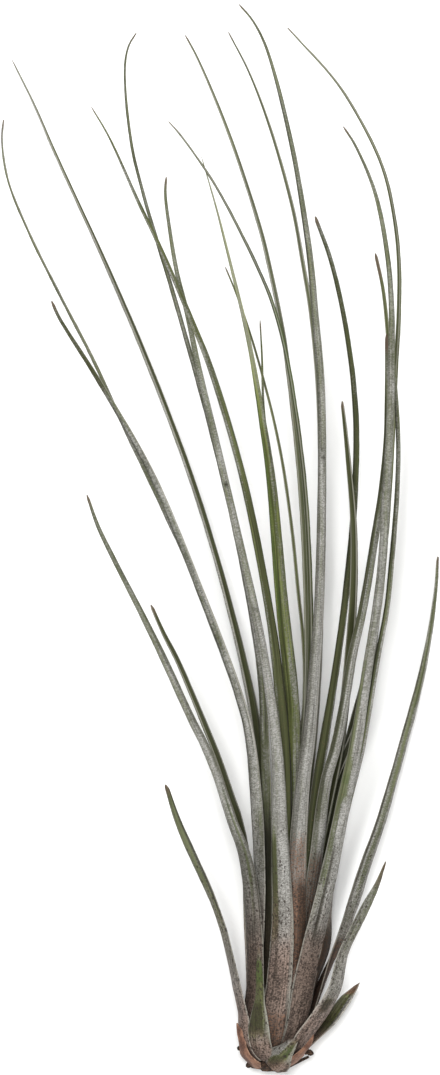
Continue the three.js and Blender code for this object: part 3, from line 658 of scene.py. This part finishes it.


# Local colour: mark, from Y, to Y, from and to across the leaf (-1 its left margin, 1 its right),
# and how strongly the mark is laid on, or taken off where that is below 0.
# Most shade patches are painted shade: the dark gaps between leaves, the crevices round the foot and the
# side of a leaf turned from the light. A few short ones are the leaf's own dark scars and streaks.
# The pale patches on the right sides of leaves are partly pale margins and partly painted highlight.
PATCHES = {
    "leaf_01": [
        ("painted_shade_and_scars", 20, 280, 0.2, 2, 0.5), ("scurf", 60, 280, -0.3, 0.3, -0.3),
        ("deep", 40, 150, 0.3, 2, 0.5),
    ],
    "leaf_02": [
        ("scurf", 30, 190, -2, 2, 0.5), ("painted_shade_and_scars", 60, 190, -2, -0.3, 0.5), ("painted_shade_and_scars", 0, 60, -2, 2, 0.5),
        ("pale", 80, 200, 0.55, 2, 0.7), ("deep", 190, 225, -2, 2, 0.7),
    ],
    "leaf_03": [
        ("scurf", 20, 300, -2, -0.15, 0.6), ("deep", 50, 260, -0.1, 2, 0.9),
        ("scurf", 50, 260, -0.1, 2, -0.6), ("painted_shade_and_scars", 50, 230, 0.5, 2, 0.6),
    ],
    "leaf_04": [
        ("deep", 40, 165, -0.3, 2, 0.85), ("scurf", 40, 165, -0.3, 2, -0.8),
        ("scurf", 165, 260, -2, -0.1, 0.35), ("painted_shade_and_scars", 50, 140, 0.72, 2, 0.95),
        ("deep", 165, 270, 0.1, 2, 0.5),
    ],
    "leaf_05": [
        ("painted_shade_and_scars", 90, 290, -0.5, -0.2, 0.6), ("painted_shade_and_scars", 90, 290, 0.25, 0.55, 0.6),
        ("deep", 40, 110, -2, 2, 0.5), ("scurf", 40, 110, -2, 2, -0.5), ("painted_shade_and_scars", -6, 66, -2, 2, 1),
        ("scurf", -6, 66, -2, 2, -0.6), ("husk", -6, 66, -2, 2, -0.3),
    ],
    "leaf_06": [
        ("deep", 28, 60, -2, -0.35, 0.65), ("scurf", 28, 60, -2, -0.35, -0.85),
        ("scurf", 28, 70, -0.25, 0.7, 0.8), ("husk", 28, 52, -0.25, 0.7, -0.6),
        ("painted_shade_and_scars", 16, 26, -0.45, -0.2, 0.7), ("painted_shade_and_scars", 163.6, 165, -0.4, 0.4, 1),
        ("painted_shade_and_scars", 127, 128, -0.6, 0.6, 0.7), ("rust", -8, 6, -2, 2, 0.5), ("painted_shade_and_scars", -8, 20, -2, 0.3, 0.3),
        ("pale", 8, 40, 0.72, 2, 0.4),
    ],
    "leaf_07": [
        ("deep", 60, 200, -2, 2, 0.35), ("green", 180, 225, -0.4, 0.5, 0.6),
        ("scurf", 60, 225, -2, 2, -0.5),
    ],
    "leaf_08": [
        ("painted_shade_and_scars", 90, 290, 0.45, 2, 0.5), ("scurf", 60, 200, -2, 2, -0.6), ("deep", 160, 290, 0.2, 2, 0.5),
    ],
    "leaf_09": [
        ("deep", 60, 190, 0.1, 2, 0.4), ("scurf", 60, 200, 0.1, 2, 0.15), ("painted_shade_and_scars", 60, 200, 0.1, 2, 0.35),
        ("scurf", 60, 190, -2, -0.1, -0.8), ("painted_shade_and_scars", 70, 190, -0.25, 0.05, 0.75),
        ("deep", 60, 125, -2, -0.15, 0.6), ("green", 118, 200, -2, -0.2, 0.55),
        ("pale", 195, 265, -0.5, 0.7, 0.35),
    ],
    "leaf_10": [("painted_shade_and_scars", 100, 235, 0.2, 2, 0.4)],
    "leaf_11": [("painted_shade_and_scars", 0, 66, -2, 2, 1), ("scurf", 0, 66, -2, 2, -0.7)],
    "leaf_12": [("deep", 60, 300, 0.1, 2, 0.4), ("painted_shade_and_scars", 60, 300, -2, -0.4, 0.4)],
    "leaf_13": [
        ("painted_shade_and_scars", 40, 305, -2, -0.35, 0.55), ("scurf", 50, 130, 0.1, 2, 0.7),
        ("pale", 50, 130, 0.55, 2, 0.35), ("rust", 18, 44, -2, 2, 0.7), ("rust", 34, 60, -2, 2, 0.45),
        ("husk", 26, 56, -2, 2, 0.4), ("painted_shade_and_scars", 18, 34, -2, 2, 0.4), ("painted_shade_and_scars", 18, 46, 0.1, 2, 0.7),
        ("painted_shade_and_scars", 171.6, 172.8, -0.2, 0.5, 0.9), ("painted_shade_and_scars", 174.5, 175.4, -0.3, 0.2, 0.7),
    ],
    "leaf_14": [
        ("deep", 30, 110, -2, 2, 0.8), ("painted_shade_and_scars", 30, 110, -2, 2, 0.5), ("scurf", 30, 110, -2, 2, -0.7),
        ("husk", 20, 60, -2, 2, -0.8),
    ],
    "leaf_15": [
        ("deep", 40, 110, -2, -0.35, 0.45), ("scurf", 40, 110, -2, -0.35, -0.6),
        ("painted_shade_and_scars", 28, 56, -0.35, -0.1, 0.95), ("husk", 30, 54, -2, 2, -0.6),
        ("green", 74, 79, -0.9, 0, 0.5), ("scurf", 70, 82, -0.9, 0, -0.6), ("painted_shade_and_scars", -6, 32, -2, 2, 0.4),
        ("pale", 20, 50, 0.7, 2, 0.5), ("painted_shade_and_scars", 120, 270, -2, -0.4, 0.3),
    ],
    "leaf_16": [
        ("deep", 40, 130, -2, 2, 0.8), ("painted_shade_and_scars", 40, 130, -2, 2, 0.7), ("dried", 226, 236, -2, 2, 0.9),
    ],
    "leaf_17": [
        ("painted_shade_and_scars", 55, 200, -2, -0.25, 0.75), ("scurf", 55, 200, -2, -0.25, -0.5),
        ("pale", 52, 88, 0.6, 2, 0.8), ("rust", 20, 54, -2, 2, 0.5), ("painted_shade_and_scars", 20, 54, -2, 2, 0.5),
        ("dried", 204, 212, -2, 2, 1),
    ],
    "leaf_18": [
        ("painted_shade_and_scars", -6, 34, -2, 2, 0.95), ("rust", 8, 30, -2, 2, 0.6), ("painted_shade_and_scars", 36, 215, -2, -0.3, 0.75),
        ("scurf", 36, 150, -2, 0.1, -0.8), ("pale", 28, 60, 0.45, 2, 0.5),
        ("deep", 150, 215, -0.4, 0.4, 0.6),
    ],
    "leaf_19": [
        ("deep", 50, 250, -2, 0.35, 0.7), ("scurf", 50, 130, -2, 0.35, -0.8),
        ("scurf", 50, 130, 0.45, 2, 0.6), ("painted_shade_and_scars", 130, 250, -2, -0.3, 0.5),
        ("painted_shade_and_scars", 50, 130, -2, -0.5, 0.5),
    ],
    "leaf_20": [
        ("deep", 50, 190, -2, 2, 0.8), ("scurf", 50, 190, -2, 2, -0.6), ("painted_shade_and_scars", 60, 150, 0.4, 2, 0.4),
    ],
    "leaf_21": [
        ("painted_shade_and_scars", 20, 145, -2, -0.45, 0.95), ("rust", 8, 28, -2, 2, 0.7), ("painted_shade_and_scars", 8, 28, -2, 2, 0.6),
        ("deep", 36, 120, -0.2, 0.25, 0.35), ("scurf", 36, 145, -0.2, 0.25, -0.45),
        ("husk", 24, 60, -2, 2, -0.7), ("scurf", 24, 145, 0.3, 2, 0.5), ("pale", 50, 130, 0.7, 2, 0.5),
    ],
    "leaf_22": [
        ("dried", 44, 56, -2, 2, 0.55), ("deep", 6, 10, -0.4, 0.05, 0.9),
        ("scurf", 6, 10, -0.4, 0.05, -0.8), ("painted_shade_and_scars", 6, 10, -0.4, 0.05, 0.6),
        ("painted_shade_and_scars", 14, 40, -2, -0.4, 0.5), ("husk", 8, 56, -2, 2, -0.85), ("deep", 20, 44, -0.3, 0.2, 0.4),
        ("painted_shade_and_scars", 14, 40, 0.5, 2, 0.5),
    ],
    "leaf_23": [
        ("rust", 11, 16, -2, 2, 0.9), ("deep", 0, 10, -2, 0, 0.9), ("husk", 0, 12, -2, 2, -0.9),
        ("scurf", 0, 10, -2, 0, -0.8), ("scurf", -4, 11, 0.1, 2, 0.9), ("pale", -4, 11, 0.35, 2, 0.8),
    ],
    "leaf_24": [
        ("painted_shade_and_scars", 20, 75, 0.4, 2, 0.8), ("deep", 30, 76, -0.4, 0.5, 0.4),
        ("scurf", 30, 76, -0.4, 0.5, -0.4), ("husk", 10, 60, -2, 2, -0.6),
    ],
    "leaf_25": [
        ("painted_shade_and_scars", 24, 75, 0.7, 2, 0.9), ("painted_shade_and_scars", -6, 60, -2, 0.7, 0.55), ("green", 35, 75, 0.1, 0.45, 0.5),
        ("scurf", 35, 75, 0.1, 0.45, -0.5), ("painted_shade_and_scars", 75, 160, 0.3, 2, 0.45),
        ("pale", 50, 100, 0.8, 2, 0.4),
    ],
    "leaf_26": [
        ("deep", 50, 130, -2, 2, 0.85), ("scurf", 50, 130, -2, 2, -0.7), ("painted_shade_and_scars", 60, 120, 0.3, 2, 0.5),
    ],
    "leaf_27": [
        ("green", 15, 22, -2, 2, 0.75), ("scurf", 15, 22, -2, 2, -0.8), ("husk", -1, 27, -2, 2, -0.9),
        ("deep", -1, 9, -0.8, 0.45, 0.9), ("scurf", -1, 9, -0.8, 0.45, -0.75),
        ("painted_shade_and_scars", 0, 8, -0.8, 0.45, 0.4), ("pale", -1, 24, -2, -0.75, 0.6), ("pale", -1, 24, 0.75, 2, 0.6),
    ],
    "front_scale": [
        ("husk", -9, 0, -2, 2, -0.9), ("scurf", -9, 0, -2, -0.3, 0.8), ("green", -8, -3, 0.1, 0.6, 0.9),
        ("scurf", -8, -3, 0.1, 0.6, -0.8), ("deep", -12, -7, -0.6, 0.4, 0.8),
        ("scurf", -12, -7, -0.6, 0.4, -0.7), ("pale", -9, 0, 0.6, 2, 0.6),
    ],
}


# ---------- finishes ----------
class Signal:
    """A value that varies over a surface. Arithmetic on it adds Math nodes to its finish."""

    def __init__(self, finish, socket):
        self.finish = finish
        self.socket = socket

    def math(self, operation, first, second):
        return self.finish.node("ShaderNodeMath", {"operation": operation}, {0: first, 1: second})

    def __add__(self, other):
        return self.math("ADD", self, other)

    def __sub__(self, other):
        return self.math("SUBTRACT", self, other)

    def __rsub__(self, other):
        return self.math("SUBTRACT", other, self)

    def __mul__(self, other):
        return self.math("MULTIPLY", self, other)

    __radd__ = __add__
    __rmul__ = __mul__


class Finish:
    """A material whose nodes all come from one method."""

    def __init__(self, name):
        self.material = bpy.data.materials.new(name)
        self.material.use_nodes = True
        self.tree = self.material.node_tree
        self.tree.nodes.clear()

    def node(self, kind, settings=None, sockets=None, output=0):
        """Adds a node: its settings are set first, then the values or links of its sockets."""
        made = self.tree.nodes.new(kind)
        for name, value in (settings or {}).items():
            setattr(made, name, value)
        for name, value in (sockets or {}).items():
            if isinstance(value, Signal):
                self.tree.links.new(value.socket, made.inputs[name])
            else:
                made.inputs[name].default_value = value
        return Signal(self, made.outputs[output]) if len(made.outputs) else None

    def mark(self, name):
        return self.node("ShaderNodeAttribute", {"attribute_name": name}, output="Fac")

    def ragged(self, name, wander, sway=0.9):
        """A mark whose edge wanders with the given noise."""
        return self.between(self.mark(name) + (wander - 0.5) * sway, 0.3, 0.7)

    def place(self, stretch):
        """Millimetres across and along a leaf, times stretch."""
        where = self.node("ShaderNodeAttribute", {"attribute_name": "leaf_place"}, output="Vector")
        return self.node("ShaderNodeVectorMath", {"operation": "MULTIPLY"}, {0: where, 1: stretch})

    def noise(self, place, scale, detail=2.0, roughness=0.5):
        sockets = {"Vector": place, "Scale": scale, "Detail": detail, "Roughness": roughness}
        return self.node("ShaderNodeTexNoise", {}, sockets, output="Fac")

    def cells(self, place, scale):
        """How far a point is from the nearest of many scattered centres."""
        return self.node("ShaderNodeTexVoronoi", {}, {"Vector": place, "Scale": scale}, output="Distance")

    def between(self, value, low, high):
        """0 below low, 1 above high, and a smooth rise between. It falls where low is above high."""
        settings = {"interpolation_type": "SMOOTHSTEP", "clamp": True}
        if low > high:
            sockets = {"Value": value, "From Min": high, "From Max": low, "To Min": 1.0, "To Max": 0.0}
        else:
            sockets = {"Value": value, "From Min": low, "From Max": high}
        return self.node("ShaderNodeMapRange", settings, sockets)

    def colour(self, start, end, factor, blend="MIX"):
        settings = {"data_type": "RGBA", "blend_type": blend, "clamp_factor": True}
        return self.node("ShaderNodeMix", settings, {0: factor, 6: start, 7: end}, output=2)

    def surface(self, colour, roughness, bumps, **constants):
        """Closes the material: bumps are pairs of a height and its depth in metres."""
        normal = None
        for height, depth in bumps:
            sockets = {"Height": height, "Distance": depth, "Strength": 1.0}
            if normal:
                sockets["Normal"] = normal
            normal = self.node("ShaderNodeBump", {}, sockets)
        sockets = {"Base Color": colour, "Roughness": roughness, "Normal": normal, **constants}
        shader = self.node("ShaderNodeBsdfPrincipled", {}, sockets)
        self.node("ShaderNodeOutputMaterial", {}, {"Surface": shader})
        return self.material


def paint(red, green, blue):
    """A colour as a screen shows it, 0 to 255, turned into light."""
    def light(level):
        level /= 255
        return level / 12.92 if level <= 0.04045 else ((level + 0.055) / 1.055) ** 2.4
    return (light(red), light(green), light(blue), 1.0)


# How quickly each pattern changes across a leaf, along it, and from one leaf to the next.
STREAKS = (1.7, 0.05, 1.0)
LINES = (3.6, 0.035, 2.0)
BLOTCHES = (0.4, 0.1, 1.0)
GRAIN = (1.5, 2.4, 1.0)
SPECKS = (2.6, 3.2, 3.0)
SPOTS = (1.0, 0.6, 1.0)
SPOT_DENSITY = 1.15
SPOT_CHANCE = (1.7, 1.1, 2.0)
HUSK_VEINS = (2.6, 0.18, 1.0)
HUSK_BLOTCHES = (0.5, 0.3, 1.0)
HUSK_GRAIN = (3.4, 2.6, 1.0)
# How deep each pattern is pressed into the surface, in metres.
STREAK_DEPTH = 0.00012
GRAIN_DEPTH = 0.00006
HUSK_VEIN_DEPTH = 0.00015
HUSK_GRAIN_DEPTH = 0.00008
BARK_DEPTH = 0.0003
TABLE_DEPTH = 0.00002

SCURF_LIGHT = paint(166, 165, 161)
SCURF_GREY = paint(114, 112, 107)
SCURF_DARK = paint(70, 68, 62)
HUSK_TAN = paint(136, 114, 102)
HUSK_DARK = paint(70, 53, 45)
RUST = paint(118, 84, 62)
RUST_DARK = paint(58, 42, 33)
DRY_TIP_BROWN = paint(96, 80, 66)
DOT = paint(42, 34, 28)
BRIGHT_GREEN = paint(62, 76, 34)
DEEP_GREEN = paint(58, 61, 33)
# Pale margin colour; on the right sides of many leaves it is laid on as a painted highlight.
PALE_MARGIN_AND_HIGHLIGHT = paint(176, 173, 162)
# Painted shade tint; it also darkens the leaves' own lengthwise streaks and scars.
SHADE_AND_STREAK_TINT = paint(116, 113, 100)
SCALE_BROWN = paint(138, 101, 80)
SCALE_BLOTCH = paint(98, 68, 54)
SCALE_VEIN = paint(84, 52, 40)
SCALE_RIM = paint(176, 142, 118)
SCALE_GRAIN = paint(66, 44, 35)
BARK_BLACK = paint(44, 34, 28)
BARK_BROWN = paint(92, 72, 58)
BARK_DUST = paint(120, 98, 82)
TABLE_WHITE = paint(250, 250, 249)
TABLE_GREY = paint(246, 246, 245)
FLESH = {
    "silver_leaf": (paint(98, 102, 74), paint(68, 73, 46)),
    "olive_leaf": (paint(92, 97, 60), paint(62, 67, 36)),
    "dark_leaf": (paint(76, 81, 50), paint(50, 55, 33)),
    "yellow_leaf": (paint(120, 128, 72), paint(80, 90, 38)),
}


def leaf_finish(slot):
    """Green flesh under fine silvery scurf, tan and dotted towards the foot."""
    finish = Finish(slot + "_skin")
    light_flesh, dark_flesh = FLESH[slot]
    scurf, husk, dots = (finish.mark(name) for name in ("scurf", "husk", "dots"))
    streaks = finish.noise(finish.place(STREAKS), 1.0, 3.0)
    lines = finish.noise(finish.place(LINES), 1.0, 1.0)
    blotches = finish.noise(finish.place(BLOTCHES), 1.0, 3.0)
    grain = finish.noise(finish.place(GRAIN), 1.0, 2.0, 0.75)
    specks = finish.noise(finish.place(SPECKS), 1.0, 1.0)
    flesh = finish.colour(light_flesh, dark_flesh, finish.between(streaks, 0.35, 0.65))
    wander = streaks * 0.6 + grain * 0.4
    flesh = finish.colour(flesh, BRIGHT_GREEN, finish.ragged("green", wander))
    flesh = finish.colour(flesh, DEEP_GREEN, finish.ragged("deep", wander) * 0.85)
    patchy = scurf + (blotches - 0.5) * 0.55 + (streaks - 0.5) * 0.6 + (grain - 0.5) * 0.6
    cover = finish.between(patchy, 0.2, 0.85)
    felted = finish.between(grain + (blotches - 0.5) * 0.4, 0.34, 0.72)
    silver = finish.colour(SCURF_GREY, SCURF_LIGHT, felted)
    skin = finish.colour(flesh, silver, cover * 0.94)
    skin = finish.colour(skin, SCURF_DARK, finish.between(specks, 0.48, 0.68) * cover * (0.2 + 0.45 * dots))
    tan = finish.colour(HUSK_DARK, HUSK_TAN, finish.between(grain + (blotches - 0.5) * 0.6, 0.38, 0.62))
    skin = finish.colour(skin, tan, husk * 0.85)
    rusty = finish.colour(RUST_DARK, RUST, finish.between(grain + (streaks - 0.5) * 0.4, 0.38, 0.62))
    skin = finish.colour(skin, rusty, finish.ragged("rust", grain, 2.4) * 0.85)
    skin = finish.colour(skin, DRY_TIP_BROWN, finish.mark("dried") * 0.9)
    # the leaf's own dark lengthwise streaks
    skin = finish.colour(skin, SHADE_AND_STREAK_TINT, finish.between(lines, 0.54, 0.64) * 0.5, "MULTIPLY")
    # painted shade, with a few real scars
    skin = finish.colour(skin, SHADE_AND_STREAK_TINT, finish.mark("painted_shade_and_scars"), "MULTIPLY")
    # pale margins, and a painted highlight along the right sides of many leaves
    skin = finish.colour(skin, PALE_MARGIN_AND_HIGHLIGHT, finish.mark("pale") * 0.7)
    # the leaf's own pale margins all round
    skin = finish.colour(skin, PALE_MARGIN_AND_HIGHLIGHT, finish.mark("rim") * 0.45)
    spots = finish.cells(finish.place(SPOTS), SPOT_DENSITY)
    chance = finish.noise(finish.place(SPOT_CHANCE), 1.0, 0.0)
    dotted = finish.between(spots, 0.46, 0.26) * finish.between(dots + (chance - 0.5) * 2.2, 0.75, 1.0)
    skin = finish.colour(skin, DOT, dotted * 0.85)
    skin = finish.colour(skin, DOT, finish.between(specks, 0.56, 0.72) * (dots * 0.4 + 0.06))
    roughness = 0.72 - 0.18 * finish.mark("inside") * (1 - cover) + grain * 0.1
    bumps = [(streaks, STREAK_DEPTH), (grain, GRAIN_DEPTH)]
    return finish.surface(skin, roughness, bumps, **{"Specular IOR Level": 0.3, "IOR": 1.45})


def husk_finish(slot):
    """Dry papery scales: orange brown with darker veins and pale worn margins."""
    finish = Finish(slot + "_skin")
    veins = finish.noise(finish.place(HUSK_VEINS), 1.0, 3.0)
    blotches = finish.noise(finish.place(HUSK_BLOTCHES), 1.0, 3.0)
    grain = finish.noise(finish.place(HUSK_GRAIN), 1.0, 2.0, 0.7)
    brown = finish.colour(SCALE_BROWN, SCALE_BLOTCH, finish.between(blotches, 0.35, 0.65))
    brown = finish.colour(brown, SCALE_VEIN, finish.between(veins, 0.55, 0.75) * 0.7)
    brown = finish.colour(brown, SCALE_RIM, finish.mark("rim") * 0.5)
    worn = finish.between(grain + (blotches - 0.5) * 0.5, 0.5, 0.66)
    brown = finish.colour(brown, SCALE_GRAIN, worn * 0.7)
    bumps = [(veins, HUSK_VEIN_DEPTH), (grain, HUSK_GRAIN_DEPTH)]
    return finish.surface(brown, 0.66 + grain * 0.15, bumps, **{"Specular IOR Level": 0.35})


def bark_finish():
    """The stem and its dead root stubs: near black with dusty ridges."""
    finish = Finish("stem_bark")
    where = finish.node("ShaderNodeTexCoord", output="Object")
    ridges = finish.noise(where, 900.0, 4.0, 0.6)
    dust = finish.noise(where, 320.0, 3.0)
    bark = finish.colour(BARK_BLACK, BARK_BROWN, finish.between(ridges, 0.45, 0.7))
    bark = finish.colour(bark, BARK_DUST, finish.between(dust, 0.6, 0.75) * 0.5)
    return finish.surface(bark, 0.85 + dust * 0.1, [(ridges, BARK_DEPTH)], **{"Specular IOR Level": 0.2})


def table_finish():
    """A pale matt table."""
    finish = Finish("table_top")
    where = finish.node("ShaderNodeTexCoord", output="Object")
    mottle = finish.noise(where, 6.0, 2.0)
    fine = finish.noise(where, 700.0, 2.0)
    pale = finish.colour(TABLE_WHITE, TABLE_GREY, mottle)
    return finish.surface(pale, 0.8 + fine * 0.1, [(fine, TABLE_DEPTH)], **{"Specular IOR Level": 0.1})


# ---------- pieces ----------
def add_piece(name, mesh, material, node):
    piece = bpy.data.objects.new(name, mesh)
    bpy.context.scene.collection.objects.link(piece)
    mesh.materials.clear()
    mesh.materials.append(material)
    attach(piece, BODY)
    if node:
        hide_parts(node)


def add_table(material):
    mesh = bpy.data.meshes.new("table")
    half = TABLE_HALF
    corners = [(-half, -half, 0), (half, -half, 0), (half, half, 0), (-half, half, 0)]
    mesh.from_pydata(corners, [], [(0, 1, 2, 3)])
    mesh.materials.append(material)
    table = bpy.data.objects.new("table", mesh)
    bpy.context.scene.collection.objects.link(table)


def add_camera():
    """Straight above the plant, as the picture was taken, with the leaf tips at the top."""
    data = bpy.data.cameras.new("view")
    data.sensor_fit = "VERTICAL"
    data.sensor_height = SENSOR
    data.lens = SENSOR * (EYE[2] - PLANT_MIDDLE) / VIEW_LENGTH
    data.clip_start = 0.1
    data.clip_end = 50
    camera = bpy.data.objects.new("view", data)
    camera.location = [MM * place for place in EYE]
    bpy.context.scene.collection.objects.link(camera)
    bpy.context.scene.camera = camera


def add_lamp(name, place, size, power):
    data = bpy.data.lights.new(name, "AREA")
    data.shape = "DISK"
    data.size = size
    data.energy = power
    lamp = bpy.data.objects.new(name, data)
    lamp.location = place
    direction = np.array(LAMP_AIM) - np.array(place)
    tilt = math.atan2(math.hypot(direction[0], direction[1]), -direction[2])
    heading = math.atan2(direction[1], direction[0])
    lamp.rotation_euler = (tilt, 0, heading - math.pi / 2)
    bpy.context.scene.collection.objects.link(lamp)


def add_light():
    """Soft studio light: a strong lamp to the upper left, a weaker broad one to the right, a white room."""
    add_lamp("key_light", **KEY_LAMP)
    add_lamp("fill_light", **FILL_LAMP)
    world = bpy.data.worlds.new("room")
    world.use_nodes = True
    world.node_tree.nodes["Background"].inputs["Color"].default_value = (1, 1, 1, 1)
    world.node_tree.nodes["Background"].inputs["Strength"].default_value = ROOM_LIGHT
    bpy.context.scene.world = world
    bpy.context.scene.view_settings.view_transform = "Standard"


add_camera()
add_light()
add_table(table_finish())
finishes = {slot: leaf_finish(slot) for slot in FLESH}
finishes["dry_scale"] = husk_finish("dry_scale")
for number, (name, leaf) in enumerate(LEAVES.items(), start=1):
    mesh = grow_leaf(name, leaf, number)
    add_piece(name + "_skin", mesh, finishes[leaf["slot"]], name)
bark = bark_finish()
for number, (name, middle_line) in enumerate(ROOT_STUBS.items(), start=len(LEAVES) + 1):
    add_piece(name, grow_stub(name, middle_line, number), bark, None)
stem = bpy.data.objects.get("stem")
if stem:
    stem.data.materials.clear()
    stem.data.materials.append(bark)
